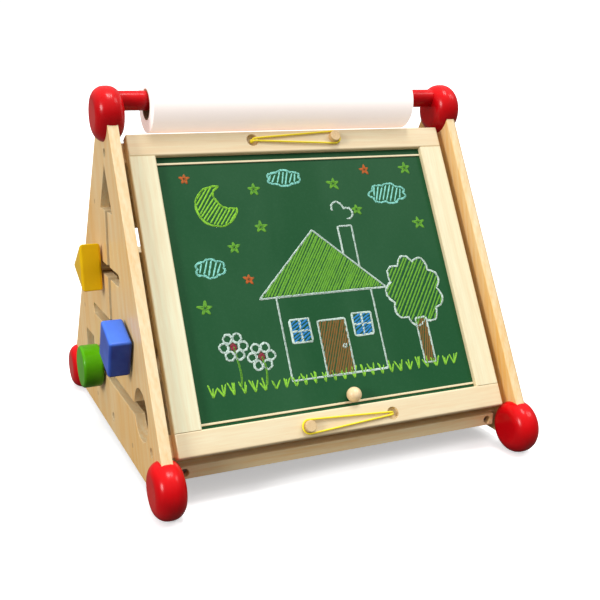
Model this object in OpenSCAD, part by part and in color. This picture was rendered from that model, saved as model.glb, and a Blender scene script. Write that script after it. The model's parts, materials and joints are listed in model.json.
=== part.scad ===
// Tabletop wooden easel: an A-frame of two side panels and round corner discs,
// a framed chalkboard on the front, a paper roll on top and sliding shape blocks
// on the left side. Origin on the table, midway between the feet. Front is -Y.

/* [A-frame] */
// Distance from the front foot centres to the back foot centres
foot_spread = 436; // [380:1:460]
// Distance from the front foot centres back to the apex disc centres
apex_setback = 199; // [180:1:220]
// Height of the apex disc centres above the foot centres
apex_rise = 362.5; // [340:0.5:390]
// Distance between the mid-planes of the two side panels
panel_spacing = 430; // [426:1:440]
// Thickness of the side panels and cross boards
panel_t = 12; // [10:0.5:13]
// How far the side panels reach outside the lines between disc centres
panel_margin = 20; // [18:0.5:21]
// Height of the side panels' bottom edge above the table
panel_bottom = 12.3; // [11:0.1:16]

/* [Discs] */
// Diameter of the six corner discs
disc_d = 61.7; // [60:0.1:64]
// Thickness of the corner discs
disc_t = 32.8; // [32:0.1:34]
// Radius of the rounding on the discs' rims
disc_round = 14.8; // [8:0.1:15]

/* [Board frame] */
// Width of the board frame
frame_w = 399.4; // [380:0.1:402]
// Height of the board frame along the slope
frame_h = 359; // [340:0.5:362]
// Distance up the slope from the foot centres to the frame's lower edge
frame_start = 27.2; // [26:0.1:34]
// Height of the frame's front face over the line between disc centres
frame_face = 6.6; // [5:0.1:9]
// Thickness of the frame rails and stiles
frame_t = 15; // [12:0.5:15]
// Height of the top and bottom frame rails
rail_h = 26.6; // [24:0.1:34]
// Width of the frame stiles
stile_w = 30.2; // [26:0.1:40]
// Depth of the chalkboard's face below the frame's front face
board_recess = 6.5; // [5:0.1:8]
// Thickness of the chalkboard
board_t = 4; // [3:0.5:5]
// Depth of the grooves that hold the chalkboard
groove_depth = 6; // [4:0.5:8]
// Width of the two beads across the chalkboard
bead_w = 2.4; // [1.5:0.1:4]
// Height of the beads over the chalkboard
bead_h = 1.5; // [1:0.1:2]

/* [Elastics and pegs] */
// Distance of the pegs and cord recesses from the middle of the rails
peg_offset = 52; // [40:1:80]
// Distance from the rail's outer edge to the peg centres
peg_inset = 11.2; // [10:0.1:13]
// Diameter of the peg heads
peg_d = 13; // [11:0.5:14]
// Height of the peg heads over the rail
peg_h = 7.5; // [6:0.5:12]
// Diameter of the recesses that hold the elastics' knots
recess_d = 14.5; // [11:0.5:15]
// Diameter of the elastic cord
elastic_d = 2.3; // [1.5:0.1:2.5]

/* [Paper roll] */
// Diameter of the roller rod
rod_d = 22; // [18:0.5:24]
// Height of the rod's axis over the apex disc centres
rod_rise = 14.3; // [13:0.1:15]
// Length of the paper roll
roll_len = 328; // [300:1:370]
// Place of the roll's middle along the rod
roll_x = -6.4; // [-15:0.1:15]
// Outer diameter of the paper roll
roll_d = 65; // [44:1:66]
// Inner diameter of the roll's cardboard core
core_id = 31; // [28:0.5:34]
// Wall thickness of the cardboard core
core_wall = 2; // [1.5:0.5:3]

/* [Ball magnet] */
// Diameter of the wooden ball
ball_d = 17; // [16:0.5:18]
// Place of the ball across the board
ball_x = 8.4; // [-100:0.1:100]
// Place of the ball's centre up the slope
ball_up = 65.6; // [65.5:0.1:120]

/* [Activity blocks] */
// Thickness of the blocks
block_depth = 24.5; // [16:0.5:26]
// Side of the yellow triangular block
triangle_side = 58; // [45:0.5:60]
// Turn of the triangular block from pointing straight back
triangle_turn = -6; // [-30:1:30]
// Side of the blue square block
square_side = 45.5; // [38:0.1:46]
// Turn of the square block
square_turn = 21; // [-45:1:45]
// Diameter of the green round block
round_d = 53; // [46:0.5:55]
// Diameter of the pegs that the blocks turn on
block_peg_d = 10; // [8:0.5:10]
// Width of the slots in the side panel
slot_w = 14; // [13.5:0.1:16]
// Side of the triangular hole
triangle_hole = 62; // [61:0.5:66]
// Side of the square hole
square_hole = 50; // [47:0.5:54]
// Diameter of the round hole
round_hole = 58; // [55:0.5:60]

/* [Cross members] */
// Height of the two rails behind the board frame
cross_rail_h = 24; // [18:0.5:24]
// Thickness of the bottom shelf
shelf_t = 14; // [12:0.5:16]
// Height of the shelf's mid-plane above the table
shelf_z = 34.4; // [33:0.1:36]
// Depth of the shelf's front and back edges behind the foot centres
shelf_inset = 23.3; // [20:0.1:30]
// Height of the lower back board along the back slope
lower_back_h = 212; // [180:1:220]
// Height of the upper back board along the back slope
upper_back_h = 122; // [80:1:125]

/* [Hidden] */
$fn = 96;
eps = 0.01;
// How far a cut runs past the face it opens
over = 1;

// Derived places of the A-frame, seen from the side
disc_r = disc_d / 2;
foot_z = disc_r;
apex_z = foot_z + apex_rise;
front_y = -foot_spread / 2;
back_y = foot_spread / 2;
apex_y = front_y + apex_setback;
panel_x = panel_spacing / 2;
panel_in = panel_x - panel_t / 2;
panel_out = panel_x + panel_t / 2;
front_len = norm([apex_setback, apex_rise]);
back_len = norm([foot_spread - apex_setback, apex_rise]);
front_tilt = atan2(apex_rise, apex_setback);
back_tilt = atan2(apex_rise, foot_spread - apex_setback);

// Board frame, measured up the slope (v) and out from it (w)
frame_end = frame_start + frame_h;
open_low = frame_start + rail_h;
open_high = frame_end - rail_h;
open_w = frame_w - 2 * stile_w;
frame_back = frame_face - frame_t;
board_face = frame_face - board_recess;
bead_low_gap = 4.8;
bead_high_gap = 8.5;
bead_low_v = open_low + bead_low_gap;
bead_high_v = open_high - bead_high_gap;
peg_low_v = frame_start + peg_inset;
peg_high_v = frame_end - peg_inset;
peg_hole_d = 8;
peg_tenon = 9;
knot_hole_depth = 6;
knot_r = 2.5;
loop_gap = 0.1;
loop_r = peg_d / 2 + elastic_d / 2 + loop_gap;
loop_reach = 2 * peg_offset;
loop_spread = asin(loop_r / loop_reach);
loop_steps = 12;
elastic_lift = 1;
elastic_high = elastic_d / 2 + elastic_lift;
elastic_low = -knot_hole_depth + 2 * knot_r + elastic_d / 3;

// Cross rails behind the frame
rail_gap = 0.4;
rail_w = frame_back - rail_gap - panel_t / 2;
rail_low_v = 31;
rail_high_v = front_len - rail_low_v - cross_rail_h;
rail_low_bolt = 40;
rail_high_bolt = front_len - rail_low_bolt;

// Back boards, measured up the back slope
back_low_v = 16;
back_high_v = 270;
back_tongue_top = 32;
back_dowel_at = [134, 313];
back_board_w = -panel_t / 2;

// Shelf
shelf_front = front_y + shelf_inset;
shelf_back = back_y - shelf_inset;
tongue_depth = 9.7;
tongue_gap = 0.6;
tongue_half = panel_x - disc_t / 2 - tongue_gap;

// Slots and shape holes of the left panel: distances behind the front feet, and heights
trunk_d = apex_setback;
slot_high_z = 215;
slot_mid_z = 150;
slot_low_z = 84;
slot_high = [146, 272];
slot_mid = [108, 300];
round_hole_at = [72, 86];
square_hole_at = [308 + square_hole / 2, slot_low_z];
triangle_base_z = 286;
triangle_rise = triangle_hole * sin(60);

// Blocks: distance behind the front feet of each peg
yellow_d = 242;
blue_d = 115.2;
green_d = 266;
block_gap = 2;
block_root = panel_out + block_gap;
block_peg_r = block_peg_d / 2;
peg_socket = 14;
peg_root = block_root + peg_socket;
running_gap = 0.05;
glide_gap = 0.1;
glide_r = slot_w / 2 - glide_gap;
glide_flange_r = 9;
flange_gap = 0.15;
keeper_gap = 0.4;
keeper_t = 5;
keeper_base = 2;
keeper_r = 12;
peg_end = panel_in - keeper_gap - keeper_t;
block_screw_len = 11;
screw_head_t = 1.5;

// Rod and roll
rod_z = apex_z + rod_rise;
rod_gap = 0.5;
rod_half = panel_in - rod_gap;
socket_gap = 0.1;
roll_gap = 0.2;
roll_z = rod_z - (core_id - rod_d) / 2 + roll_gap;
core_od = core_id + 2 * core_wall;

// Hardware
bolt_r = 2.9;
bolt_hole_r = 3;
bolt_head_r = 5.5;
bolt_head_t = 2.5;
bolt_head_sink = 3.5;
bolt_neck_x = panel_out - bolt_head_sink - bolt_head_t;
bolt_len = 38;
bolt_end_room = 2;
hex_r = 2.3;
hex_depth = 1.5;
bore_gap = 0.1;
nut_r = 4.8;
nut_len = 12;
rail_nut_len = 10;
rail_nut_shift = 1;
nut_inset = 20;
nut_at = panel_in - nut_inset;
nut_bore_depth = 24;
shelf_bolt_inset = 14.5;
shelf_middle_bolt = 210;
plug_r = 3;
plug_len = 28;
corner_dowel_r = 3;
corner_dowel_len = 24;
corner_dowel_spread = 8;
corner_dowel_shift = 2;
shelf_dowel_at = [116, 300];
screw_x = 120;
screw_r = 2;
screw_len = 19.5;
screw_head = 2;

// Ball magnet, its centre over the chalkboard and its flat at the back
ball_gap = 0.15;
ball_flat = 0.5;
ball_lift = board_face + ball_gap + ball_d / 2 - ball_flat;
magnet_r = 2.4;
magnet_t = 3;

// Bolts: places in the side view
front_low_bolt = slope_point(rail_low_bolt, rail_w);
front_high_bolt = slope_point(rail_high_bolt, rail_w);
shelf_bolts = [
    [shelf_front + shelf_bolt_inset, shelf_z],
    [front_y + shelf_middle_bolt, shelf_z],
    [shelf_back - shelf_bolt_inset, shelf_z]
];
bolt_places = concat([front_low_bolt, front_high_bolt], shelf_bolts);

// Wooden dowels: places in the side view
shelf_dowels = [for (d = shelf_dowel_at) [front_y + d, shelf_z]];
back_dowels = [for (v = back_dowel_at) back_point(v, back_board_w)];
dowel_places = concat(shelf_dowels, back_dowels);

wood = [0.87, 0.74, 0.50];
pale_wood = [0.96, 0.91, 0.78];
steel = [0.62, 0.62, 0.64];

// A point of the front slope, v up it and w out from it, as [y, z]
function slope_point(v, w) = [
    front_y + v * cos(front_tilt) - w * sin(front_tilt),
    foot_z + v * sin(front_tilt) + w * cos(front_tilt)
];

// A point of the back slope, v up it and w out from it, as [y, z]
function back_point(v, w) = [
    back_y - v * cos(back_tilt) + w * sin(back_tilt),
    foot_z + v * sin(back_tilt) + w * cos(back_tilt)
];

// Places children in the front slope's own axes: X across, Y up the slope, Z out
module on_front_slope() {
    translate([0, front_y, foot_z]) rotate([front_tilt, 0, 0]) children();
}

// The same for the back slope
module on_back_slope() {
    translate([0, back_y, foot_z]) rotate([0, 0, 180]) rotate([back_tilt, 0, 0]) children();
}

// Extrudes a side-view outline (y, z) along X from x_from, over length len
module side_extrude(x_from, len) {
    translate([x_from, 0, 0]) rotate([90, 0, 90]) linear_extrude(len) children();
}

// A cylinder along X between two X values, at a side-view point
module rod_x(at, r, x_from, x_to) {
    translate([x_from, at[0], at[1]]) rotate([0, 90, 0]) cylinder(r = r, h = x_to - x_from);
}

// ---- Side panels ----

// Side view of a panel: a triangle whose cut corners lie inside the discs
module panel_outline() {
    out_front = panel_margin * [-sin(front_tilt), cos(front_tilt)];
    out_back = panel_margin * [sin(back_tilt), cos(back_tilt)];
    polygon([
        [front_y, foot_z] + out_front,
        [apex_y, apex_z] + out_front,
        [apex_y, apex_z] + out_back,
        [back_y, foot_z] + out_back,
        [back_y, panel_bottom],
        [front_y, panel_bottom]
    ]);
}

// A level slot with round ends between two distances behind the front feet
module level_slot(from, to, z) {
    half = slot_w / 2;
    translate([front_y + from + half, z - half]) square([to - from - slot_w, slot_w]);
    for (d = [from + half, to - half]) translate([front_y + d, z]) circle(half);
}

// The maze of slots and the three shape holes
module activity_cutouts() {
    level_slot(slot_high[0], slot_high[1], slot_high_z);
    level_slot(slot_mid[0], slot_mid[1], slot_mid_z);
    translate([front_y + round_hole_at[0], slot_low_z - slot_w / 2])
        square([square_hole_at[0] - round_hole_at[0], slot_w]);
    translate([front_y + trunk_d - slot_w / 2, slot_low_z])
        square([slot_w, triangle_base_z + over - slot_low_z]);
    translate([front_y + round_hole_at[0], round_hole_at[1]]) circle(round_hole / 2);
    translate([front_y + square_hole_at[0], square_hole_at[1]]) square(square_hole, center = true);
    translate([front_y + trunk_d, triangle_base_z]) polygon([
        [-triangle_hole / 2, 0], [triangle_hole / 2, 0], [0, triangle_rise]
    ]);
}

// Bores for the bolts and dowels, with counterbores on the outer face
module panel_bores() {
    for (p = bolt_places) {
        rod_x(p, bolt_hole_r, panel_in - over, panel_out + over);
        rod_x(p, bolt_head_r + bore_gap, bolt_neck_x, panel_out + over);
    }
    for (p = dowel_places) rod_x(p, plug_r, panel_in - over, panel_out + over);
}

module side_panel_left() {
    color(wood) mirror([1, 0, 0]) difference() {
        side_extrude(panel_in, panel_t) difference() {
            panel_outline();
            activity_cutouts();
        }
        panel_bores();
    }
}

module side_panel_right() {
    color(wood) difference() {
        side_extrude(panel_in, panel_t) panel_outline();
        panel_bores();
    }
}

// ---- Corner discs ----

// Half profile of a disc with a fully rounded rim
module disc_profile() {
    flat = disc_t / 2 - disc_round;
    core = disc_r - disc_round;
    translate([0, -disc_t / 2]) square([core, disc_t]);
    translate([0, -flat]) square([disc_r, 2 * flat]);
    for (s = [-1, 1]) intersection() {
        translate([core, s * flat]) circle(disc_round);
        translate([0, s > 0 ? flat - eps : -disc_t / 2]) square([disc_r, disc_round + eps]);
    }
}

// A disc that straddles the right side panel in a slot; side -1 mirrors it to the left
module corner_disc(side, at) {
    color("red") mirror([side < 0 ? 1 : 0, 0, 0]) difference() {
        translate([panel_x, at[0], at[1]]) rotate([0, 90, 0]) rotate_extrude() disc_profile();
        side_extrude(panel_in, panel_t) panel_outline();
        rod_x([apex_y, rod_z], rod_d / 2 + socket_gap, panel_x - disc_t, panel_in);
    }
}

module foot_front_left() { corner_disc(-1, [front_y, foot_z]); }
module foot_front_right() { corner_disc(1, [front_y, foot_z]); }
module foot_back_left() { corner_disc(-1, [back_y, foot_z]); }
module foot_back_right() { corner_disc(1, [back_y, foot_z]); }
module disc_top_left() { corner_disc(-1, [apex_y, apex_z]); }
module disc_top_right() { corner_disc(1, [apex_y, apex_z]); }

// ---- Shelf, cross rails and back boards ----

// Bores for a bolt and its barrel nut in the end of a cross member
module bolt_end_bores(p) {
    for (s = [0, 1]) mirror([s, 0, 0])
        rod_x(p, bolt_hole_r, panel_out - bolt_len - bolt_end_room, panel_in + over);
}

module dowel_end_bores(p) {
    for (s = [0, 1]) mirror([s, 0, 0])
        rod_x(p, plug_r, panel_out - plug_len, panel_in + over);
}

module shelf() {
    depth = shelf_back - shelf_front;
    color(wood) difference() {
        union() {
            translate([-tongue_half, shelf_front, shelf_z - shelf_t / 2])
                cube([2 * tongue_half, depth, shelf_t]);
            translate([-panel_in, shelf_front + tongue_depth, shelf_z - shelf_t / 2])
                cube([2 * panel_in, depth - 2 * tongue_depth, shelf_t]);
        }
        for (p = shelf_bolts) bolt_end_bores(p);
        for (p = shelf_dowels) dowel_end_bores(p);
        for (s = [-1, 1]) {
            translate([s * nut_at, shelf_front - over, shelf_z])
                rotate([-90, 0, 0]) cylinder(r = nut_r + bore_gap, h = nut_bore_depth);
            translate([s * nut_at, shelf_back + over, shelf_z])
                rotate([90, 0, 0]) cylinder(r = nut_r + bore_gap, h = nut_bore_depth);
            translate([s * nut_at, shelf_bolts[1][0], shelf_z - shelf_t])
                cylinder(r = nut_r + bore_gap, h = shelf_t + nut_len / 2);
        }
    }
}

// A cross rail behind the board frame, with its bolt v_bolt up the slope
module cross_rail(v_from, v_bolt) {
    color(wood) difference() {
        on_front_slope() translate([-panel_in, v_from, rail_w - panel_t / 2])
            cube([2 * panel_in, cross_rail_h, panel_t]);
        bolt_end_bores(slope_point(v_bolt, rail_w));
        on_front_slope() for (s = [-1, 1]) {
            translate([s * nut_at, v_bolt, rail_w - panel_t])
                cylinder(r = nut_r + bore_gap, h = panel_t + rail_nut_len / 2);
            translate([s * screw_x, v_from + cross_rail_h / 2, rail_w - panel_t])
                cylinder(r = screw_r, h = 2 * panel_t);
        }
    }
}

module front_rail_lower() { cross_rail(rail_low_v, rail_low_bolt); }
module front_rail_upper() { cross_rail(rail_high_v, rail_high_bolt); }

// A board across the back, between two heights up the back slope
module back_board_plate(half_w, v_from, v_to) {
    on_back_slope() translate([-half_w, v_from, -panel_t])
        cube([2 * half_w, v_to - v_from, panel_t]);
}

// The lower board, narrowed at the bottom to pass between the back feet
module back_board_lower() {
    color(wood) difference() {
        union() {
            back_board_plate(tongue_half, back_low_v, back_low_v + lower_back_h);
            back_board_plate(panel_in, back_tongue_top, back_low_v + lower_back_h);
        }
        dowel_end_bores(back_dowels[0]);
    }
}

module back_board_upper() {
    color(wood) difference() {
        back_board_plate(panel_in, back_high_v, back_high_v + upper_back_h);
        dowel_end_bores(back_dowels[1]);
    }
}

// ---- Board frame ----

// The chalkboard's sheet, which is also the shape of its grooves
module board_sheet() {
    translate([
        -open_w / 2 - groove_depth, open_low - groove_depth, board_face - board_t
    ]) cube([
        open_w + 2 * groove_depth, open_high - open_low + 2 * groove_depth, board_t
    ]);
}

// One dowel of a frame corner: side and the height of its joint line
module corner_dowel(side, joint, r) {
    translate([side * (frame_w - stile_w) / 2, joint, board_face - board_t / 2])
        rotate([90, 0, 0]) cylinder(r = r, h = corner_dowel_len, center = true);
}

module all_corner_dowels(r) {
    for (side = [-1, 1], joint = [open_low, open_high], s = [-1, 1])
        translate([side * corner_dowel_shift + s * corner_dowel_spread, 0, 0])
            corner_dowel(side, joint, r);
}

// Bores in a rail for its peg, its elastic's knot and the screws from behind
module rail_bores(v, peg_x, v_screw) {
    translate([peg_x, v, frame_face - peg_tenon])
        cylinder(r = peg_hole_d / 2, h = peg_tenon + over);
    translate([-peg_x, v, frame_face - knot_hole_depth])
        cylinder(r = recess_d / 2, h = knot_hole_depth + over);
    for (x = [-screw_x, screw_x]) translate([x, v_screw, frame_back - over])
        cylinder(r = screw_r, h = screw_len - panel_t + over);
}

module frame_rail(v_from, v_peg, peg_x, v_screw) {
    color(pale_wood) on_front_slope() difference() {
        translate([-frame_w / 2, v_from, frame_back]) cube([frame_w, rail_h, frame_t]);
        board_sheet();
        all_corner_dowels(corner_dowel_r);
        rail_bores(v_peg, peg_x, v_screw);
    }
}

module frame_rail_top() {
    frame_rail(open_high, peg_high_v, peg_offset, rail_high_v + cross_rail_h / 2);
}

module frame_rail_bottom() {
    frame_rail(frame_start, peg_low_v, -peg_offset, rail_low_v + cross_rail_h / 2);
}

module frame_stile(side) {
    color(pale_wood) on_front_slope() difference() {
        translate([side * (frame_w - stile_w) / 2 - stile_w / 2, open_low, frame_back])
            cube([stile_w, open_high - open_low, frame_t]);
        board_sheet();
        all_corner_dowels(corner_dowel_r);
    }
}

module frame_stile_left() { frame_stile(-1); }
module frame_stile_right() { frame_stile(1); }

module frame_dowels() {
    color(wood) on_front_slope() difference() {
        all_corner_dowels(corner_dowel_r);
        board_sheet();
    }
}

module chalkboard() {
    color([0.13, 0.36, 0.22]) on_front_slope() board_sheet();
}

module bead(v) {
    color(pale_wood) on_front_slope() translate([-open_w / 2, v - bead_w / 2, board_face])
        cube([open_w, bead_w, bead_h]);
}

module bead_top() { bead(bead_high_v); }
module bead_bottom() { bead(bead_low_v); }

// ---- Pegs and elastics ----

module rail_peg(x, v) {
    color(pale_wood) on_front_slope() translate([x, v, frame_face]) {
        translate([0, 0, -peg_tenon]) cylinder(r = peg_hole_d / 2, h = peg_tenon);
        cylinder(r = peg_d / 2, h = peg_h);
    }
}

module peg_top() { rail_peg(peg_offset, peg_high_v); }
module peg_bottom() { rail_peg(-peg_offset, peg_low_v); }

// One side of the elastic's loop, from the knot in its recess to the peg's far side,
// as points [along, across, height] from the peg's axis
function elastic_half(side) = concat(
    [
        [-loop_reach, side * elastic_d / 2, elastic_low],
        [-loop_reach + elastic_d / 3, side * elastic_d * 0.55, (elastic_low + elastic_high) / 2],
        [-loop_reach + elastic_d, side * elastic_d * 0.65, elastic_high - elastic_d / 4],
        [-loop_reach + 2.5 * elastic_d, side * elastic_d * 0.8, elastic_high]
    ],
    [for (i = [0:loop_steps])
        let (a = side * ((90 + loop_spread) * (1 - i / loop_steps)))
        [loop_r * cos(a), loop_r * sin(a), elastic_high]]
);

// The whole loop: out along one side, round the peg and back along the other
function elastic_path() = let (half = elastic_half(1), back = elastic_half(-1))
    concat(half, [for (i = [len(back) - 2:-1:0]) back[i]]);

// Sweeps a tube with round sections along a path of points
module tube(path, d, sides) {
    last = len(path) - 1;
    rings = [for (i = [0:last])
        let (
            ahead = path[min(i + 1, last)] - path[max(i - 1, 0)],
            t = ahead / norm(ahead),
            across = cross([0, 0, 1], t),
            u = across / norm(across),
            v = cross(t, u)
        )
        for (k = [0:sides - 1])
            path[i] + d / 2 * (cos(360 * k / sides) * u + sin(360 * k / sides) * v)];
    walls = [for (i = [0:last - 1], k = [0:sides - 1])
        let (a = i * sides + k, b = i * sides + (k + 1) % sides)
        [a, a + sides, b + sides, b]];
    caps = [[for (k = [0:sides - 1]) k], [for (k = [sides - 1:-1:0]) last * sides + k]];
    polyhedron(rings, concat(walls, caps));
}

// An elastic looped round the peg at peg_x, with its ends in the recess opposite
module elastic(peg_x, v) {
    color("yellow") on_front_slope() translate([peg_x, v, frame_face])
        rotate([0, 0, peg_x > 0 ? 0 : 180]) tube(elastic_path(), elastic_d, 8);
}

// The knots in the elastics' ends, each in its recess
module elastic_knots() {
    color("yellow") on_front_slope() {
        translate([-peg_offset, peg_high_v, frame_face - knot_hole_depth + knot_r]) sphere(knot_r);
        translate([peg_offset, peg_low_v, frame_face - knot_hole_depth + knot_r]) sphere(knot_r);
    }
}

module elastic_top() { elastic(peg_offset, peg_high_v); }
module elastic_bottom() { elastic(-peg_offset, peg_low_v); }

// ---- Roller rod and paper roll ----

module roller_rod() {
    color("red") rod_x([apex_y, rod_z], rod_d / 2, -rod_half, rod_half);
}

// A tube along X, centred on the roll's axis
module roll_tube(outer, inner) {
    translate([roll_x, apex_y, roll_z]) rotate([0, 90, 0]) difference() {
        cylinder(d = outer, h = roll_len, center = true);
        cylinder(d = inner, h = roll_len + 2 * over, center = true);
    }
}

module roll_core() { color([0.72, 0.60, 0.42]) roll_tube(core_od, core_id); }
module paper_roll() { color("white") roll_tube(roll_d, core_od); }

// ---- Ball magnet ----

module ball() {
    color(pale_wood) on_front_slope() difference() {
        translate([ball_x, ball_up, ball_lift]) sphere(ball_d / 2);
        translate([ball_x, ball_up, board_face + ball_gap - ball_d])
            cylinder(r = ball_d, h = ball_d);
        translate([ball_x, ball_up, board_face]) cylinder(r = magnet_r, h = ball_gap + magnet_t);
    }
}

module ball_magnet() {
    color(steel) on_front_slope() translate([ball_x, ball_up, board_face + ball_gap])
        cylinder(r = magnet_r, h = magnet_t);
}

// ---- Activity blocks ----

// Puts a side-view outline at a block's peg and gives it the block's depth
module block_body(d, z, turn) {
    mirror([1, 0, 0]) difference() {
        side_extrude(block_root, block_depth)
            translate([front_y + d, z]) rotate(turn) children();
        rod_x([front_y + d, z], block_peg_r, block_root - over, peg_root);
    }
}

module block_peg(d, z) {
    color(wood) mirror([1, 0, 0]) difference() {
        rod_x([front_y + d, z], block_peg_r, peg_end, peg_root);
        rod_x([front_y + d, z], screw_r, peg_end - over, peg_end + block_screw_len + over);
    }
}

// A bush that slides in the slot, with a flange between block and panel
module block_glide(d, z) {
    at = [front_y + d, z];
    color(wood) mirror([1, 0, 0]) difference() {
        union() {
            rod_x(at, glide_r, panel_in, panel_out + block_gap / 2);
            rod_x(at, glide_flange_r, panel_out + flange_gap, block_root - flange_gap);
        }
        rod_x(at, block_peg_r + running_gap, panel_in - over, block_root + over);
    }
}

// The disc inside the easel that keeps the peg in its slot
module block_keeper(d, z) {
    color(wood) mirror([1, 0, 0]) difference() {
        rod_x([front_y + d, z], keeper_r, peg_end - keeper_base, panel_in - keeper_gap);
        rod_x([front_y + d, z], block_peg_r, peg_end, panel_in + over);
        rod_x([front_y + d, z], screw_r, peg_end - keeper_base - over, peg_end + over);
    }
}

module block_screw(d, z) {
    head = peg_end - keeper_base;
    color(steel) mirror([1, 0, 0]) {
        rod_x([front_y + d, z], screw_r, head, peg_end + block_screw_len);
        rod_x([front_y + d, z], 2 * screw_r, head - screw_head_t, head);
    }
}

module yellow_block() {
    r = triangle_side / sqrt(3);
    color("gold") block_body(yellow_d, slot_high_z, triangle_turn)
        polygon([for (a = [0, 120, 240]) [r * cos(a), r * sin(a)]]);
}
module yellow_peg() { block_peg(yellow_d, slot_high_z); }
module yellow_glide() { block_glide(yellow_d, slot_high_z); }
module yellow_keeper() { block_keeper(yellow_d, slot_high_z); }
module yellow_screw() { block_screw(yellow_d, slot_high_z); }

module blue_block() {
    color("royalblue") block_body(blue_d, slot_mid_z, square_turn)
        square(square_side, center = true);
}
module blue_peg() { block_peg(blue_d, slot_mid_z); }
module blue_glide() { block_glide(blue_d, slot_mid_z); }
module blue_keeper() { block_keeper(blue_d, slot_mid_z); }
module blue_screw() { block_screw(blue_d, slot_mid_z); }

module green_block() {
    color("limegreen") block_body(green_d, slot_low_z, 0) circle(d = round_d);
}
module green_peg() { block_peg(green_d, slot_low_z); }
module green_glide() { block_glide(green_d, slot_low_z); }
module green_keeper() { block_keeper(green_d, slot_low_z); }
module green_screw() { block_screw(green_d, slot_low_z); }

// ---- Hardware ----

module panel_bolts() {
    color(steel) for (p = bolt_places, s = [0, 1]) mirror([s, 0, 0]) difference() {
        union() {
            rod_x(p, bolt_r, panel_out - bolt_len, bolt_neck_x);
            rod_x(p, bolt_head_r, bolt_neck_x, panel_out - bolt_head_sink);
        }
        translate([panel_out - bolt_head_sink - hex_depth, p[0], p[1]]) rotate([0, 90, 0])
            cylinder(r = hex_r, h = 2 * hex_depth, $fn = 6);
    }
}

// One barrel nut, standing along Z, with its bore along X and shifted along the nut
module barrel_nut(length, shift) {
    difference() {
        cylinder(r = nut_r, h = length, center = true);
        translate([0, 0, shift]) rotate([0, 90, 0])
            cylinder(r = bolt_r + running_gap, h = 4 * nut_r, center = true);
    }
}

module cross_dowel_nuts() {
    color(steel) for (s = [-1, 1]) {
        for (v = [rail_low_bolt, rail_high_bolt]) on_front_slope()
            translate([s * nut_at, v, rail_w - rail_nut_shift])
                barrel_nut(rail_nut_len, rail_nut_shift);
        for (p = [shelf_bolts[0], shelf_bolts[2]]) translate([s * nut_at, p[0], p[1]])
            rotate([90, 0, 0]) barrel_nut(nut_len, 0);
        translate([s * nut_at, shelf_bolts[1][0], shelf_z]) barrel_nut(nut_len, 0);
    }
}

module panel_dowels() {
    color(pale_wood) for (p = dowel_places, s = [0, 1]) mirror([s, 0, 0])
        rod_x(p, plug_r, panel_out - plug_len, panel_out);
}

// Screws from the cross rails into the board frame's rails
module frame_screws() {
    color(steel) on_front_slope()
        for (v = [rail_low_v, rail_high_v], x = [-screw_x, screw_x])
            translate([x, v + cross_rail_h / 2, rail_w - panel_t / 2]) {
                cylinder(r = screw_r, h = screw_len);
                translate([0, 0, -screw_head]) cylinder(r = 2 * screw_r, h = screw_head);
            }
}

side_panel_left();
side_panel_right();
foot_front_left();
foot_front_right();
foot_back_left();
foot_back_right();
disc_top_left();
disc_top_right();
shelf();
front_rail_lower();
front_rail_upper();
back_board_lower();
back_board_upper();
frame_rail_top();
frame_rail_bottom();
frame_stile_left();
frame_stile_right();
frame_dowels();
chalkboard();
bead_top();
bead_bottom();
peg_top();
peg_bottom();
elastic_top();
elastic_bottom();
elastic_knots();
roller_rod();
roll_core();
paper_roll();
ball();
ball_magnet();
yellow_block();
yellow_peg();
yellow_glide();
yellow_keeper();
yellow_screw();
blue_block();
blue_peg();
blue_glide();
blue_keeper();
blue_screw();
green_block();
green_peg();
green_glide();
green_keeper();
green_screw();
panel_bolts();
cross_dowel_nuts();
panel_dowels();
frame_screws();
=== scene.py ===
"""Looks of the tabletop easel: soft-edged timber, gloss paint, chalkboard, paper and doodles.

Everything is in metres, in the CAD model's own frame: X across, -Y to the front, Z up.
"""

import json
import math
import random

import bmesh
import bpy
from mathutils import Matrix, Vector

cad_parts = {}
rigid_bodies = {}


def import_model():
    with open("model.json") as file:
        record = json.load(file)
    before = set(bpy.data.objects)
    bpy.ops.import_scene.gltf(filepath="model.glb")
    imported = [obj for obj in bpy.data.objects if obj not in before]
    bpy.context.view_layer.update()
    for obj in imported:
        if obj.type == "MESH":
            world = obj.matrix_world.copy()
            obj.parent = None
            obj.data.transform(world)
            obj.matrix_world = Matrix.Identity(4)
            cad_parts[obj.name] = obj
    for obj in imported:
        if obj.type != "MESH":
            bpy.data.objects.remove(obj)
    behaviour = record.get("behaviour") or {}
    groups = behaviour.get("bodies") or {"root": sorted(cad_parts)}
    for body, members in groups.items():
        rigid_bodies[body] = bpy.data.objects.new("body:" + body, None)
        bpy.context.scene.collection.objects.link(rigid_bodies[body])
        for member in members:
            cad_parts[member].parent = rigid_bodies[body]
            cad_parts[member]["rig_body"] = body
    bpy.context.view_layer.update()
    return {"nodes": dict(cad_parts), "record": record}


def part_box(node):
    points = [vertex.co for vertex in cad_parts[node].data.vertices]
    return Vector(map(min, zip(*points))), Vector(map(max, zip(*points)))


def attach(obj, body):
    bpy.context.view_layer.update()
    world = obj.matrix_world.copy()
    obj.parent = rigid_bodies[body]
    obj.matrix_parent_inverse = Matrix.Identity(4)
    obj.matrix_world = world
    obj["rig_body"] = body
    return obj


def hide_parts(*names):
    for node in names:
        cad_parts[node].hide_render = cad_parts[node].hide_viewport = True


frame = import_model()
NODES = frame["nodes"]
MM = 0.001
X_AXIS = Vector((1, 0, 0))
DICE = random.Random(7)

# Camera: where it stands, how it is turned in degrees, and its lens in mm
CAMERA_AT = Vector((-0.43369, -1.03318, 0.43948))
CAMERA_TURN = -24.101
CAMERA_DIP = 14.182
CAMERA_ROLL = 0.287
CAMERA_LENS = 54.15

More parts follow.
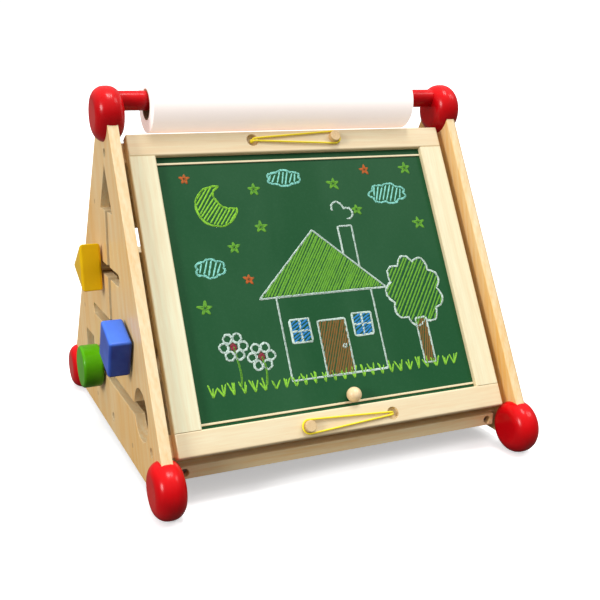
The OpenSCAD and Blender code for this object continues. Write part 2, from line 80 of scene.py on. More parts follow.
# Room: its brightness at eye level and overhead, and that of the backdrop the camera sees
ROOM_LOW = 0.12
ROOM_HIGH = 1.0
BACKDROP_LEVEL = 1.05

# Suns: name, the way towards it, and strength; all appear equally broad
SUNS = (
    ("key", (0.62, -0.3, 0.75), 0.5),
    ("top", (0.1, -0.15, 0.98), 1.5),
    ("side", (-0.88, -0.3, 0.36), 1.8),
)
SUN_ANGLE = math.radians(18)

# Floor: half its width, the colour of the light it throws back up, and its glow to the camera
FLOOR_REACH = 30
FLOOR_CELLS = 8
FLOOR_BOUNCE = (116, 112, 106)
FLOOR_GLOW = 0.45

# Rounding of the edges; a loop shorter than SMALL_LOOP is the rim of a small bore
PANEL_EDGE = 3.6 * MM
BOARD_EDGE = 1.2 * MM
FRAME_EDGE = 2.0 * MM
JOINT_EDGE = 0.3 * MM
BLOCK_EDGE = 3.4 * MM
SMALL_EDGE = 0.5 * MM
PEG_EDGE = 1.0 * MM
SMALL_LOOP = 60 * MM
EDGE_STEPS = 3

# Mesh clean-up: vertices nearer than WELD are one, faces within FLAT are one, and edges are
# sharp above SHARP
WELD = 1e-6
FLAT = math.radians(0.5)
SHARP = math.radians(30)


def centre(node):
    """The middle of a CAD node's box."""
    lo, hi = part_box(node)
    return (lo + hi) / 2


# The front slope: up runs up it, out points out of it, and both start at the chalkboard's face
SLOPE_UP = (centre("bead_top") - centre("bead_bottom")).normalized()
SLOPE_OUT = X_AXIS.cross(SLOPE_UP)

# Euler turn that lays the slope level
LEVEL_SLOPE = (-math.atan2(SLOPE_UP.z, SLOPE_UP.y), 0, 0)


def reach(node, direction):
    """How far a CAD node reaches along a direction: (lowest, highest)."""
    spans = [v.co.dot(direction) for v in NODES[node].data.vertices]
    return min(spans), max(spans)


# Landmarks on the slope: the board's and the frame's faces, the opening and the outer side
BOARD_FACE = reach("chalkboard", SLOPE_OUT)[1]
FRAME_FACE = reach("frame_rail_top", SLOPE_OUT)[1]
OPEN_LOW = reach("frame_rail_bottom", SLOPE_UP)[1]
OPEN_HIGH = reach("frame_rail_top", SLOPE_UP)[0]
OPEN_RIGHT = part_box("bead_top")[1].x
FRAME_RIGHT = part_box("frame_rail_top")[1].x
BOARD_MIDDLE = SLOPE_UP * (OPEN_LOW + OPEN_HIGH) / 2 + SLOPE_OUT * BOARD_FACE


# ---- Camera ----


def add_camera():
    """The main view, from the front left and a little above."""
    turn, dip, roll = (math.radians(a) for a in (CAMERA_TURN, CAMERA_DIP, CAMERA_ROLL))
    back = Vector((
        math.sin(turn) * math.cos(dip), -math.cos(turn) * math.cos(dip), math.sin(dip)
    ))
    right = (-back).cross(Vector((0, 0, 1))).normalized()
    up = right.cross(-back)
    facing = Matrix((right, up, back)).transposed() @ Matrix.Rotation(roll, 3, "Z")
    data = bpy.data.cameras.new("camera")
    data.lens = CAMERA_LENS
    camera = bpy.data.objects.new("camera", data)
    camera.matrix_world = Matrix.Translation(CAMERA_AT) @ facing.to_4x4()
    bpy.context.scene.collection.objects.link(camera)
    bpy.context.scene.camera = camera


# ---- Materials ----


# Sockets of the Mix node in its colour form
MIX_FIRST, MIX_SECOND, MIX_RESULT = 6, 7, 2

# Spacing in metres of a Wave node's rings at a scale of 1
WAVE_SPACING = 0.314


def screen(red, green, blue):
    """A colour given as 0 to 255 on screen, as a shader needs it."""
    shares = (v / 255 for v in (red, green, blue))
    return (*(((v + 0.055) / 1.055) ** 2.4 for v in shares), 1)


class Shader:
    """A material with short calls for the nodes that the looks here share."""

    def __init__(self, name, **sockets):
        self.material = bpy.data.materials.new(name)
        self.material.use_nodes = True
        self.tree = self.material.node_tree
        self.surface = self.tree.nodes["Principled BSDF"]
        for socket, value in sockets.items():
            self.surface.inputs[socket.replace("_", " ")].default_value = value

    def node(self, kind, values=None, **settings):
        """A new node: settings are its properties, values its sockets, given or linked."""
        made = self.tree.nodes.new("ShaderNode" + kind)
        for name, value in settings.items():
            setattr(made, name, value)
        for socket, value in (values or {}).items():
            if isinstance(value, bpy.types.NodeSocket):
                self.tree.links.new(value, made.inputs[socket])
            else:
                made.inputs[socket].default_value = value
        return made

    def link(self, output, socket):
        """Feeds an output into the surface's socket of that name."""
        self.tree.links.new(output, self.surface.inputs[socket])

    def place(self, turn=(0, 0, 0), scale=(1, 1, 1), shift=(0, 0, 0)):
        """The surface's place in the model, turned, then moved, then stretched."""
        where = self.node("TexCoord").outputs["Object"]
        turned = self.node("Mapping", {"Vector": where, "Rotation": turn, "Location": shift})
        return self.node(
            "Mapping", {"Vector": turned.outputs["Vector"], "Scale": scale}
        ).outputs["Vector"]

    def noise(self, vector, scale, detail=3, distortion=0):
        """Cloudy noise from 0 to 1."""
        return self.node("TexNoise", {
            "Vector": vector, "Scale": scale, "Detail": detail, "Distortion": distortion
        }).outputs["Fac"]

    def facing(self, axis):
        """How far the surface faces along X, Y or Z, from -1 to 1."""
        normal = self.node("NewGeometry").outputs["Normal"]
        return self.node("SeparateXYZ", {"Vector": normal}).outputs[axis]

    def sidewards(self):
        """1 where the surface faces left or right, 0 where it faces up, down, front or back."""
        across = self.facing("X")
        return self.times(across, across)

    def spread(self, value, low, high, to_low=0, to_high=1):
        """value from low to high, mapped to to_low to to_high and held there."""
        return self.node("MapRange", {
            "Value": value, "From Min": low, "From Max": high,
            "To Min": to_low, "To Max": to_high
        }).outputs["Result"]

    def plus(self, first, second):
        return self.node("Math", {0: first, 1: second}, operation="ADD").outputs[0]

    def minus(self, first, second):
        return self.node("Math", {0: first, 1: second}, operation="SUBTRACT").outputs[0]

    def times(self, first, second):
        return self.node("Math", {0: first, 1: second}, operation="MULTIPLY").outputs[0]

    def mix(self, share, first, second):
        """A colour, from the first at a share of 0 to the second at 1."""
        return self.node(
            "Mix", {"Factor": share, MIX_FIRST: first, MIX_SECOND: second}, data_type="RGBA"
        ).outputs[MIX_RESULT]

    def bump(self, height, strength, distance):
        """Small relief of the surface, distance in metres."""
        made = self.node("Bump", {
            "Height": height, "Strength": strength, "Distance": distance
        })
        self.link(made.outputs["Normal"], "Normal")


def grain_turn(direction):
    """Euler turn that brings a direction onto X, so that grain can run along X."""
    return tuple(Vector(direction).rotation_difference(X_AXIS).to_euler())


# Timber: how strongly the rings, fibres, clouds and pores show, and how much painted shade
# darkens the faces that look left or right, such as the panels' broad faces and the boards' ends
RING_TONE = 0.16
FIBRE_TONE = 0.28
CLOUD_TONE = 0.3
PORE_TONE = 0.4
SIDEWAYS_PAINTED_SHADE = 0.35


def wood(name, light, dark, along, pith, ring=7 * MM, rough=0.42):
    """Lacquered timber: growth rings about a line at pith, fibres and pores along one way."""
    s = Shader(
        name, Roughness=rough, Coat_Weight=0.12, Coat_Roughness=0.3, Specular_IOR_Level=0.35
    )
    turn = grain_turn(along)
    rings = s.node("TexWave", {
        "Vector": s.place(turn, (0.1, 1, 1), pith), "Scale": WAVE_SPACING / ring,
        "Distortion": 5.0, "Detail": 2.0, "Detail Scale": 0.5
    }, wave_type="RINGS", rings_direction="X").outputs["Fac"]
    stretched = s.place(turn, (0.06, 1, 1), pith)
    fibre = s.noise(stretched, 520, 5)
    pores = s.spread(s.noise(stretched, 1700, 2), 0.66, 0.78)
    cloudy = s.noise(s.place(turn, (0.3, 1, 1), pith), 14, 3)
    depth = s.plus(s.times(rings, RING_TONE), s.spread(fibre, 0.35, 0.7, 0, FIBRE_TONE))
    depth = s.plus(depth, s.spread(cloudy, 0.35, 0.7, 0, CLOUD_TONE))
    # Painted shade: faces that look left or right turn towards the dark tone
    depth = s.plus(depth, s.times(s.sidewards(), SIDEWAYS_PAINTED_SHADE))
    base = s.mix(depth, screen(*light), screen(*dark))
    s.link(s.mix(s.times(pores, PORE_TONE), base, screen(*dark)), "Base Color")
    s.bump(s.minus(fibre, pores), 0.25, 0.08 * MM)
    return s.material


def paint(name, colour, deep, rough=0.3):
    """Gloss paint: painted shade deepens it below, a faint grain under it and a soft clear coat.
    """
    s = Shader(
        name, Roughness=rough, Coat_Weight=0.28, Coat_Roughness=0.2, Specular_IOR_Level=0.06
    )
    cloudy = s.spread(s.noise(s.place(), 30, 4), 0.35, 0.75, 0, 0.25)
    # Painted shade: the less a face looks up, the more it turns towards the deep colour
    painted_shade_below = s.spread(s.facing("Z"), 0.8, -0.5, 0, 0.75)
    s.link(s.mix(s.plus(cloudy, painted_shade_below), screen(*colour), screen(*deep)), "Base Color")
    grain = s.noise(s.place(scale=(1, 0.12, 1)), 700, 4)
    dimples = s.noise(s.place(), 260, 2)
    s.bump(s.plus(grain, dimples), 0.12, 0.15 * MM)
    return s.material


def chalkboard_paint():
    """Green board paint with wiped chalk dust and a fine tooth."""
    s = Shader("chalkboard_green", Specular_IOR_Level=0.16)
    wiped = s.noise(s.place(LEVEL_SLOPE, (1, 0.35, 1)), 9, 5, 0.6)
    dust = s.noise(s.place(LEVEL_SLOPE), 420, 3)
    haze = s.plus(s.spread(wiped, 0.42, 0.72, 0, 0.08), s.spread(dust, 0.5, 0.8, 0, 0.04))
    s.link(s.mix(haze, screen(26, 80, 44), screen(104, 152, 116)), "Base Color")
    s.link(s.spread(wiped, 0.3, 0.7, 0.34, 0.46), "Roughness")
    s.bump(dust, 0.15, 0.06 * MM)
    return s.material


def chalk(name, colour):
    """Chalk drawn on the board's tooth: bright grains with the board showing between."""
    s = Shader(name, Roughness=0.95, Specular_IOR_Level=0.1)
    grains = s.noise(s.place(), 1500, 3)
    s.link(
        s.mix(s.spread(grains, 0.34, 0.5), screen(60, 112, 78), screen(*colour)), "Base Color"
    )
    s.bump(grains, 0.5, 0.2 * MM)
    return s.material


def paper():
    """White paper with a painted glow; the wound edges show as fine rings on the roll's ends."""
    # Emission: a faint pinkish glow that paints light onto the whole roll, its shaded side too
    s = Shader(
        "white_paper", Roughness=0.85, Specular_IOR_Level=0.2,
        Emission_Color=screen(255, 234, 228), Emission_Strength=0.42
    )
    axis = centre("paper_roll")
    about = s.place(shift=(-axis.x, -axis.y, -axis.z))
    layers = s.node("TexWave", {
        "Vector": about, "Scale": 210, "Distortion": 1.5, "Detail": 3, "Detail Scale": 0.3
    }, wave_type="RINGS", rings_direction="X").outputs["Fac"]
    ends = s.spread(s.sidewards(), 0.3, 0.9)
    wound = s.times(layers, ends)
    fibres = s.noise(s.place(), 500, 4)
    tone = s.plus(s.times(wound, 0.35), s.spread(fibres, 0.4, 0.8, 0, 0.06))
    s.link(s.mix(tone, screen(254, 251, 248), screen(226, 206, 214)), "Base Color")
    s.bump(s.plus(fibres, wound), 0.2, 0.1 * MM)
    return s.material


def cardboard():
    """Grey-brown wound board of the roll's core."""
    s = Shader("cardboard", Roughness=0.85)
    wound = s.node("TexWave", {
        "Vector": s.place((0.5, 0.6, 0)), "Scale": 9, "Distortion": 2, "Detail": 2
    }).outputs["Fac"]
    flecks = s.noise(s.place(), 600, 4)
    tone = s.plus(s.times(wound, 0.3), s.spread(flecks, 0.35, 0.7, 0, 0.6))
    s.link(s.mix(tone, screen(182, 150, 112), screen(128, 98, 70)), "Base Color")
    s.bump(flecks, 0.4, 0.1 * MM)
    return s.material


def elastic_cord():
    """Braided yellow elastic: crossing diagonal threads a millimetre apart."""
    s = Shader("yellow_elastic", Roughness=0.6, Sheen_Weight=0.3)
    threads = [
        s.node("TexWave", {
            "Vector": s.place(LEVEL_SLOPE, (1, slant, slant)), "Scale": 300, "Distortion": 0.4
        }, bands_direction="DIAGONAL").outputs["Fac"]
        for slant in (0.9, -0.9)
    ]
    weave = s.times(*threads)
    s.link(s.mix(weave, screen(250, 222, 4), screen(255, 246, 30)), "Base Color")
    s.bump(weave, 0.3, 0.15 * MM)
    return s.material


def zinc():
    """Zinc-plated steel with fine turning marks and faint spots."""
    s = Shader("zinc_steel", Metallic=1.0, Anisotropic=0.4)
    spots = s.noise(s.place(), 350, 4)
    s.link(s.mix(s.spread(spots, 0.4, 0.7), screen(150, 150, 155), screen(112, 112, 114)),
           "Base Color")
    s.link(s.spread(spots, 0.3, 0.7, 0.26, 0.42), "Roughness")
    s.bump(s.noise(s.place(scale=(1, 6, 6)), 600, 2), 0.15, 0.05 * MM)
    return s.material


def studio_white():
    """Very pale floor with a barely seen mottle, which throws little light back up."""
    s = Shader(
        "studio_white", Roughness=0.9, Specular_IOR_Level=0.1, Emission_Strength=FLOOR_GLOW
    )
    cloudy = s.noise(s.place(), 3, 3)
    seen = s.mix(cloudy, screen(254, 254, 254), screen(250, 250, 251))
    direct = s.node("LightPath").outputs["Is Camera Ray"]
    s.link(s.mix(direct, screen(*FLOOR_BOUNCE), seen), "Base Color")
    s.link(s.mix(direct, screen(0, 0, 0), seen), "Emission Color")
    return s.material


# Timber tones, light and dark, as seen on screen
PINE = ((244, 228, 188), (234, 178, 92))
PALE = ((242, 240, 206), (230, 204, 158))
CREAM = ((238, 226, 190), (228, 192, 144))
DOWEL = ((232, 206, 158), (190, 148, 96))
BALL = ((250, 228, 186), (232, 192, 136))

# Each board's tones, and the way its grain runs
ALONG_SLOPE = tuple(SLOPE_UP)
BOARD_GRAIN = {
    "side_panel_left": (PINE, (0, 0.25, 1)),
    "side_panel_right": (PINE, (0, 0.25, 1)),
    "shelf": (PINE, (1, 0, 0)),
    "front_rail_lower": (PINE, (1, 0, 0)),
    "front_rail_upper": (PINE, (1, 0, 0)),
    "back_board_lower": (PINE, (1, 0, 0)),
    "back_board_upper": (PINE, (1, 0, 0)),
    "frame_rail_top": (CREAM, (1, 0, 0)),
    "frame_rail_bottom": (CREAM, (1, 0, 0)),
    "frame_stile_left": (PALE, ALONG_SLOPE),
    "frame_stile_right": (PALE, ALONG_SLOPE),
    "bead_top": (CREAM, (1, 0, 0)),
    "bead_bottom": (CREAM, (1, 0, 0)),
}


def board_wood(node):
    """Each board has rings about its own pith, so that no two show the same figure."""
    (light, dark), along = BOARD_GRAIN[node]
    dice = random.Random(node)
    pith = (dice.uniform(-1, 1), dice.uniform(0.02, 0.08), dice.uniform(0.05, 0.12))
    return wood(node + "_wood", light, dark, along, pith)


# ---- Mesh helpers ----


def finish_piece(name, mesh, body, material, smooth=SHARP):
    """Links a mesh as a piece that rides on a CAD body and takes a finish."""
    made = bpy.data.objects.new(name, mesh)
    bpy.context.scene.collection.objects.link(made)
    mesh.materials.clear()
    mesh.materials.append(material)
    mesh.shade_smooth()
    mesh.set_sharp_from_angle(angle=smooth)
    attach(made, body)
    return made


def from_bmesh(bm, name):
    """A mesh of that name from a working mesh, which it uses up."""
    mesh = bpy.data.meshes.new(name)
    bmesh.ops.recalc_face_normals(bm, faces=bm.faces)
    bm.to_mesh(mesh)
    bm.free()
    return mesh


def slot_of(node):
    """The record's material slot of a CAD node."""
    for part in frame["record"]["subparts"]:
        if part["node"] == node:
            return part["material_slot"]
    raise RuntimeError(f"{node} has no subpart entry")


def welded(node):
    """A working copy of a CAD node's mesh, its seams closed."""
    bm = bmesh.new()
    bm.from_mesh(NODES[node].data)
    bmesh.ops.remove_doubles(bm, verts=bm.verts, dist=WELD)
    return bm


def sharp_chains(bm):
    """The sharp edges, in groups that touch each other, in the same order on every run."""
    bm.edges.index_update()
    waiting = {
        e.index: e for e in bm.edges if len(e.link_faces) == 2 and e.calc_face_angle() > SHARP
    }
    groups = []
    while waiting:
        group, fresh = [], [waiting.pop(next(iter(waiting)))]
        while fresh:
            edge = fresh.pop()
            group.append(edge)
            for near in (e for v in edge.verts for e in v.link_edges):
                if near.index in waiting:
                    fresh.append(waiting.pop(near.index))
        groups.append(group)
    return groups


def round_edges(bm, edges, width):
    """Rounds some of a working mesh's edges by one width."""
    bmesh.ops.bevel(
        bm, geom=edges, offset=width, offset_type="OFFSET", segments=EDGE_STEPS,
        profile=0.5, affect="EDGES", clamp_overlap=True, loop_slide=True
    )


def soften(node, width_of, material):
    """Stands in for a CAD node with its edges rounded by width_of(edge's middle, loop length)."""
    bm = welded(node)
    bmesh.ops.dissolve_limit(bm, angle_limit=FLAT, verts=bm.verts, edges=bm.edges)
    widths = {}
    for group in sharp_chains(bm):
        length = sum(e.calc_length() for e in group)
        for edge in group:
            middle = (edge.verts[0].co + edge.verts[1].co) / 2
            width = width_of(middle, length)
            if width:
                widths.setdefault(width, []).append(edge)
    for width in sorted(widths, reverse=True):
        round_edges(bm, [e for e in widths[width] if e.is_valid], width)
    mesh, body = from_bmesh(bm, node), NODES[node]["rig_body"]
    made = finish_piece(node + "_piece", mesh, body, material)
    made.modifiers.new("flat_faces", "WEIGHTED_NORMAL").keep_sharp = True
    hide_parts(node)


def plain_edges(width):
    """Rounds long edges by width and leaves the small bores' rims nearly sharp."""
    return lambda middle, length: width if length > SMALL_LOOP else SMALL_EDGE


def frame_edges(middle, length):
    """Edges of the board frame: soft on the face and round the outside, tight at the joints."""
    up, out = middle.dot(SLOPE_UP), middle.dot(SLOPE_OUT)
    if length < SMALL_LOOP:
        return SMALL_EDGE if out > FRAME_FACE - MM else 0
    at_joint = min(abs(up - OPEN_LOW), abs(up - OPEN_HIGH)) < MM / 2
    if at_joint and abs(middle.x) > OPEN_RIGHT + MM / 2:
        return JOINT_EDGE
    outside = abs(middle.x) > FRAME_RIGHT - MM / 2
    return FRAME_EDGE if out > FRAME_FACE - MM / 2 or outside else 0


def dress(node, material):
    """A CAD node whose shape is right keeps it and gets the material."""
    mesh = NODES[node].data
    mesh.materials.clear()
    mesh.materials.append(material)


# ---- Timber ----


def add_timber():
    """Panels, shelf, cross rails, back boards, board frame and beads."""
    for node in BOARD_GRAIN:
        if node.startswith("frame_"):
            rule = frame_edges
        elif node.startswith("bead_"):
            rule = plain_edges(SMALL_EDGE)
        else:
            rule = plain_edges(PANEL_EDGE if node.startswith("side_") else BOARD_EDGE)
        soften(node, rule, board_wood(node))


def add_pegs_and_ball():
    """The elastics' pegs, worn round at the edges, and the ball."""
    peg_wood = wood("peg_wood", *DOWEL, tuple(SLOPE_OUT), (0, 0.004, 0.002), 1.6 * MM)
    for node in ("peg_top", "peg_bottom"):
        soften(node, lambda middle, length: PEG_EDGE, peg_wood)
    ball_wood = wood("ball_wood", *BALL, (0.3, 0.5, 0.8), (0, 0.003, 0.004), 2.4 * MM, 0.3)
    dress("ball", ball_wood)


def add_dowels():
    """The dowels whose ends show on the panels, and those inside the joints."""
    dowel = wood("dowel_wood", *DOWEL, (1, 0, 0), (0, 0.01, 0.02), 2 * MM, 0.55)
    for node in NODES:
        if slot_of(node) == "dowel_wood":
            dress(node, dowel)


# ---- Painted pieces ----


def add_painted():
    """Red discs and rod, and the three shape blocks."""
    # Each paint: its colour, then the deep colour that its mottle and its painted shade turn
    # towards
    red = paint("red_gloss", (232, 8, 14), (150, 2, 16))
    for node in NODES:
        if slot_of(node) == "red_gloss":
            dress(node, red)
    colours = {
        "yellow": ((255, 214, 16), (214, 160, 4)),
        "blue": ((82, 132, 250), (18, 16, 100)),
        "green": ((102, 206, 12), (42, 98, 4)),
    }
    for name, (colour, deep) in colours.items():
        skin = paint(name + "_gloss", colour, deep, 0.35)
        soften(name + "_block", plain_edges(BLOCK_EDGE), skin)


# ---- Elastics and metal ----


def add_elastics():
    """The elastic loops, made rounder than the CAD's, and their knots."""
    material = elastic_cord()
    for node in ("elastic_top", "elastic_bottom"):
        mesh = from_bmesh(welded(node), node)
        made = finish_piece(
            node + "_piece", mesh, "easel", material, math.pi
        )
        smooth = made.modifiers.new("smooth", "SUBSURF")
        smooth.levels = smooth.render_levels = 1
        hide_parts(node)
    dress("elastic_knots", material)


def add_metal():
    """Bolts, barrel nuts and screws."""
    material = zinc()
    for node in NODES:
        if slot_of(node) == "zinc_steel":
            dress(node, material)


# ---- Paper roll ----

# The roll's loose edge: how high it stands, where round the roll it lies, and the turn, a little
# short of a full one, over which the radius rises to it
TAIL_STEP = 0.5 * MM
TAIL_ANGLE = math.radians(214)
TAIL_TURN = 2 * math.pi * (1 - 1e-3)
ROLL_STEPS = 160
END_EDGE = 0.6 * MM


def add_roll():
    """A wound roll: its radius rises by one step round the turn and so leaves a loose edge."""
    lo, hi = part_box("paper_roll")
    axis = (lo + hi) / 2
    outer = (hi.z - lo.z) / 2
    core_lo, core_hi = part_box("roll_core")
    inner = (core_hi.z - core_lo.z) / 2
    bm = bmesh.new()
    # Each corner of the section: its place along the roll, and which radius it is at
    profile = [
        (lo.x, 0), (lo.x, 1), (lo.x + END_EDGE, 2), (hi.x - END_EDGE, 2), (hi.x, 1), (hi.x, 0)
    ]
    rings = []
    for i in range(ROLL_STEPS):
        share = i / (ROLL_STEPS - 1)
        angle = TAIL_ANGLE + share * TAIL_TURN
        radius = outer - TAIL_STEP * (1 - share)
        radii = (inner, radius - END_EDGE, radius)
        rings.append([
            bm.verts.new((
                x, axis.y + radii[k] * math.cos(angle), axis.z + radii[k] * math.sin(angle)
            ))
            for x, k in profile
        ])
    for i in range(ROLL_STEPS):
        ring, after = rings[i], rings[(i + 1) % ROLL_STEPS]
        for k in range(len(profile)):
            n = (k + 1) % len(profile)
            bm.faces.new((ring[k], ring[n], after[n], after[k]))
    mesh = from_bmesh(bm, "paper_roll")
    made = finish_piece("paper_roll_piece", mesh, "roll", paper())
    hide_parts("paper_roll")
    dress("roll_core", cardboard())


# ---- Chalk doodles, placed in millimetres from the board's middle: x across, y up ----

# A ridge of chalk: its height, how far it sinks into the board, and the sides of its section
CHALK_HIGH = 0.22 * MM
CHALK_SUNK = 0.05 * MM
CHALK_SIDES = 6

# Width in millimetres of outlines and of filling strokes
OUTLINE = 2.1
FILL = 2.4

# Points on curves: ovals run a little past their start, as a hand draws them
OVAL_STEPS = 27
OVAL_TURNS = 1.05
ARC_STEPS = 18
LUMP_STEPS = 12
STAR_POINTS = 5


def nudge(point, by=0.7):
    """A point moved a little, as a hand draws it."""
    return (point[0] + DICE.uniform(-by, by), point[1] + DICE.uniform(-by, by))


def twice(points):
    """A line gone over twice."""
    return [[nudge(point) for point in points] for _ in range(2)]


def edges(outline):
    """A closed outline as straight strokes with sharp corners."""
    return [
        stroke for ends in zip(outline, outline[1:] + outline[:1]) for stroke in twice(ends)
    ]


def box(left, low, right, high):
    """The corners of an upright rectangle."""
    return [(left, low), (right, low), (right, high), (left, high)]


def oval(x, y, wide, high):
    """Points round an oval, a little past its start."""
    angles = [2 * math.pi * OVAL_TURNS * i / OVAL_STEPS for i in range(OVAL_STEPS + 1)]
    return [(x + wide * math.cos(a), y + high * math.sin(a)) for a in angles]


def arc(x, y, radius, start, end):
    """Points along an arc between two angles in degrees."""
    span = end - start
    angles = [math.radians(start + span * i / ARC_STEPS) for i in range(ARC_STEPS + 1)]
    return [(x + radius * math.cos(a), y + radius * math.sin(a)) for a in angles]


def star(x, y, size):
    """Spokes from the middle, as a quick chalk star."""
    spokes = []
    for i in range(STAR_POINTS):
        angle = math.pi / 2 + 2 * math.pi * i / STAR_POINTS + DICE.uniform(-0.15, 0.15)
        length = size * DICE.uniform(0.8, 1.1)
        tip = (x + length * math.cos(angle), y + length * math.sin(angle))
        for spread in (-0.2, 0.2):
            root = (x + size * spread * math.sin(angle), y - size * spread * math.cos(angle))
            spokes.append([root, tip])
    return spokes


def cloud(x, y, wide, high, lumps):
    """A closed outline with even lumps."""
    count = LUMP_STEPS * lumps
    points = []
    for i in range(count):
        angle = 2 * math.pi * i / count
        swell = 0.82 + 0.18 * abs(math.sin(lumps * angle / 2))
        points.append((x + wide * swell * math.cos(angle), y + high * swell * math.sin(angle)))
    return points


def crossings(corners, level):
    """Where a line at a level crosses a closed outline of (level, place along) corners."""
    cuts = []
    for (a0, a1), (b0, b1) in zip(corners, corners[1:] + corners[:1]):
        if (a0 - level) * (b0 - level) < 0:
            cuts.append(a1 + (b1 - a1) * (level - a0) / (b0 - a0))
    return sorted(cuts)


def hatch(outline, slant, gap):
    """Parallel strokes at a slant in degrees that fill a closed outline."""
    angle = math.radians(slant)
    along, across = (math.cos(angle), math.sin(angle)), (-math.sin(angle), math.cos(angle))
    corners = [
        (x * across[0] + y * across[1], x * along[0] + y * along[1]) for x, y in outline
    ]
    low, high = min(c[0] for c in corners), max(c[0] for c in corners)
    strokes = []
    level = low + gap / 2
    while level < high:
        cuts = crossings(corners, level)
        for start, end in zip(cuts[::2], cuts[1::2]):
            start += gap * DICE.uniform(0.2, 0.5)
            end -= gap * DICE.uniform(0.2, 0.5)
            if end - start > gap:
                tilt = gap * DICE.uniform(-0.2, 0.2)
                strokes.append([
                    (t * along[0] + (level + d) * across[0],
                     t * along[1] + (level + d) * across[1])
                    for t, d in ((start, -tilt), (end, tilt))
                ])
        level += gap * DICE.uniform(0.85, 1.15)
    return strokes


def smooth_path(points):
    """Catmull-Rom points between given ones, about 2 mm apart."""
    ends = [points[0]] + points + [points[-1]]
    path = []
    for before, a, b, after in zip(ends, ends[1:], ends[2:], ends[3:]):
        steps = max(1, int(math.dist(a, b) / 2))
        for i in range(steps):
            t = i / steps
            path.append(tuple(
                0.5 * (2 * p1 + (p2 - p0) * t + (2 * p0 - 5 * p1 + 4 * p2 - p3) * t * t
                       + (3 * p1 - p0 - 3 * p2 + p3) * t ** 3)
                for p0, p1, p2, p3 in zip(before, a, b, after)
            ))
    return path + [points[-1]]


def add_stroke(bm, points, wide):
    """One closed, low ridge of chalk along the points, its width wandering as it is drawn."""
    path = smooth_path([tuple(p) for p in points])
    rings = []
    for i, here in enumerate(path):
        ahead, behind = path[min(i + 1, len(path) - 1)], path[max(i - 1, 0)]
        run = Vector((ahead[0] - behind[0], ahead[1] - behind[1]))
        if not run.length:
            continue
        side = Vector((-run.y, run.x)).normalized()
        half = wide / 2 * DICE.uniform(0.75, 1.15)
        if i in (0, len(path) - 1):
            half *= 0.4
        ring = []
        for k in range(CHALK_SIDES):
            angle = 2 * math.pi * k / CHALK_SIDES
            off = side * half * math.cos(angle)
            under = k > CHALK_SIDES / 2
            height = -CHALK_SUNK if under else CHALK_HIGH * max(math.sin(angle), 0)
            spot = BOARD_MIDDLE + X_AXIS * (here[0] + off.x) * MM
            spot = spot + SLOPE_UP * (here[1] + off.y) * MM + SLOPE_OUT * height
            ring.append(bm.verts.new(spot))
        rings.append(ring)
    for first, second in zip(rings, rings[1:]):
        for k in range(CHALK_SIDES):
            n = (k + 1) % CHALK_SIDES
            bm.faces.new((first[k], first[n], second[n], second[k]))
    bm.faces.new(rings[0][::-1])
    bm.faces.new(rings[-1])


def crescent(x, y, size):
    """A moon's closed outline: most of a circle, and the bite out of its upper right."""
    body = arc(x, y, size, 75, 352)
    bite = arc(x + 0.72 * size, y + 0.62 * size, 0.78 * size, -78, -190)
    return body + bite


def sky():
    """Moon, clouds and stars as (chalk, width, strokes)."""
    moon = crescent(-108, 92, 24)
    clouds = [cloud(-20, 122, 22, 10, 6), cloud(112, 96, 26, 13, 7), cloud(-128, 20, 18, 11, 6)]
    stars = [
        star(x, y, size) for x, y, size in (
            (-60, 110, 9), (42, 112, 9), (66, 78, 8), (-60, 64, 9), (144, 128, 9),
            (-96, 42, 8), (146, 56, 9), (-142, -24, 9),
        )
    ]
    embers = [star(x, y, 7) for x, y in ((-86, 4), (88, 128), (-140, 126))]
    return [
        ("lime", OUTLINE, twice(moon + moon[:1]) + hatch(moon, 52, 3.6)),
        ("aqua", OUTLINE, [line for c in clouds for line in twice(c + c[:1])]),
        ("aqua", OUTLINE, [line for c in clouds for line in hatch(c, 70, 5)]),
        ("green", FILL, sum(stars, [])),
        ("orange", FILL, sum(embers, [])),
    ]


def house():
    """A plain house: hatched roof and door, two windows, chimney and smoke."""
    walls = box(-58, -116, 62, -20)
    roof = [(-78, -20), (2, 56), (82, -20)]
    chimney = [(36, 24), (36, 58), (54, 58), (54, 7)]
    door = box(-14, -116, 20, -52)
    windows = [box(-48, -74, -24, -48), box(30, -74, 54, -48)]
    smoke = arc(52, 74, 7, -100, 120) + arc(40, 82, 7, 20, 210)
    white = edges(walls) + edges(roof) + edges(door) + twice(oval(14, -84, 2, 2))
    white += [line for a, b in zip(chimney, chimney[1:]) for line in twice((a, b))] + twice(smoke)
    for pane in windows:
        (left, low), (right, high) = pane[0], pane[2]
        mid_x, mid_y = (left + right) / 2, (low + high) / 2
        white += edges(pane)
        white += twice([(mid_x, low), (mid_x, high)]) + twice([(left, mid_y), (right, mid_y)])
    return [
        ("white", OUTLINE, white),
        ("green", FILL, hatch(roof, 55, 2.8)),
        ("brown", FILL, hatch(door, 68, 3.0)),
        ("blue", FILL, [line for pane in windows for line in hatch(pane, 30, 3.4)]),
    ]


def garden():
    """A tree, two flowers and tufts of grass beside the house."""
    trunk = box(112, -116, 126, -62)
    crown = cloud(119, -28, 38, 44, 9)
    white = twice(crown + crown[:1]) + edges(trunk)
    petals, middles, stems = [], [], []
    petal_ring, petal_r, petal_count = 11, 5, 6
    for x, y in ((-118, -70), (-88, -84)):
        stems += twice([(x, y), (x + 3, -100), (x, -116)])
        middles += hatch(oval(x, y, petal_r, petal_r), 20, 2.2)
        for k in range(petal_count):
            angle = 2 * math.pi * k / petal_count
            at_x, at_y = x + petal_ring * math.cos(angle), y + petal_ring * math.sin(angle)
            petals += twice(oval(at_x, at_y, petal_r, petal_r))
    grass = [
        [(x, -122), nudge((x + lean, -110), 3)]
        for x in range(-150, 152, 12) for lean in (-4, 0, 4)
    ]
    return [
        ("white", OUTLINE, white + petals),
        ("wine", FILL, middles),
        ("brown", FILL, hatch(trunk, 75, 3.2)),
        ("green", FILL, hatch(crown, 55, 4.2) + stems),
        ("lime", OUTLINE, grass),
    ]


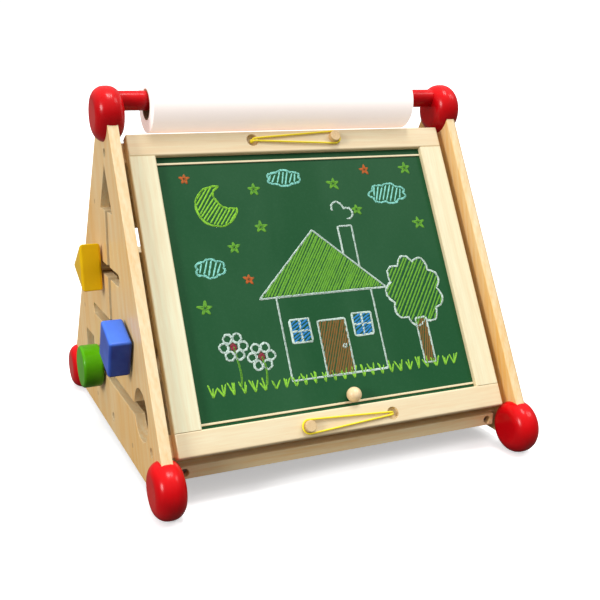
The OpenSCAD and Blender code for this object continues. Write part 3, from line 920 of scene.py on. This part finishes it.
def add_chalk():
    """All the doodles, one piece for each colour of chalk."""
    colours = {
        "white": (222, 240, 232), "aqua": (150, 228, 214), "lime": (146, 212, 60),
        "green": (110, 172, 52), "orange": (200, 96, 44), "brown": (136, 92, 46),
        "blue": (52, 132, 204), "wine": (150, 34, 66),
    }
    meshes = {name: bmesh.new() for name in colours}
    for name, wide, strokes in sky() + house() + garden():
        for points in strokes:
            add_stroke(meshes[name], points, wide)
    for name, bm in meshes.items():
        mesh = from_bmesh(bm, "chalk_" + name)
        material = chalk("chalk_" + name, colours[name])
        finish_piece("chalk_" + name, mesh, "easel", material, math.pi)


# ---- Studio ----


def add_floor():
    """A wide pale sheet under the easel, in a grid so that it is plainly a surface."""
    bm = bmesh.new()
    bmesh.ops.create_grid(
        bm, x_segments=FLOOR_CELLS, y_segments=FLOOR_CELLS, size=FLOOR_REACH
    )
    floor = bpy.data.objects.new("floor", from_bmesh(bm, "floor"))
    bpy.context.scene.collection.objects.link(floor)
    floor.data.materials.append(studio_white())


def add_sun(name, towards, strength):
    """Broad soft light from one side, even over the whole floor."""
    data = bpy.data.lights.new(name, "SUN")
    data.energy = strength
    data.angle = SUN_ANGLE
    light = bpy.data.objects.new(name, data)
    light.rotation_euler = (-Vector(towards)).to_track_quat("-Z", "Y").to_euler()
    bpy.context.scene.collection.objects.link(light)


def add_world():
    """White all round to the eye, and a dimmer room to light by."""
    world = bpy.data.worlds.new("studio")
    world.use_nodes = True
    nodes, links = world.node_tree.nodes, world.node_tree.links
    way = nodes.new("ShaderNodeTexCoord")
    split = nodes.new("ShaderNodeSeparateXYZ")
    links.new(way.outputs["Generated"], split.inputs["Vector"])
    room = nodes.new("ShaderNodeMapRange")
    room.inputs["To Min"].default_value = ROOM_LOW
    room.inputs["To Max"].default_value = ROOM_HIGH
    links.new(split.outputs["Z"], room.inputs["Value"])
    seen = nodes.new("ShaderNodeLightPath").outputs["Is Camera Ray"]
    level = nodes.new("ShaderNodeMapRange")
    level.inputs["To Max"].default_value = BACKDROP_LEVEL
    links.new(seen, level.inputs["Value"])
    links.new(room.outputs["Result"], level.inputs["To Min"])
    background = nodes["Background"]
    background.inputs["Color"].default_value = (1, 1, 1, 1)
    links.new(level.outputs["Result"], background.inputs["Strength"])
    bpy.context.scene.world = world


def add_studio():
    """Floor, suns and surroundings, shown without a film curve."""
    add_floor()
    for name, towards, strength in SUNS:
        add_sun(name, towards, strength)
    add_world()
    bpy.context.scene.view_settings.view_transform = "Standard"


add_camera()
add_timber()
add_pegs_and_ball()
add_dowels()
add_painted()
add_elastics()
add_metal()
add_roll()
dress("chalkboard", chalkboard_paint())
add_chalk()
add_studio()
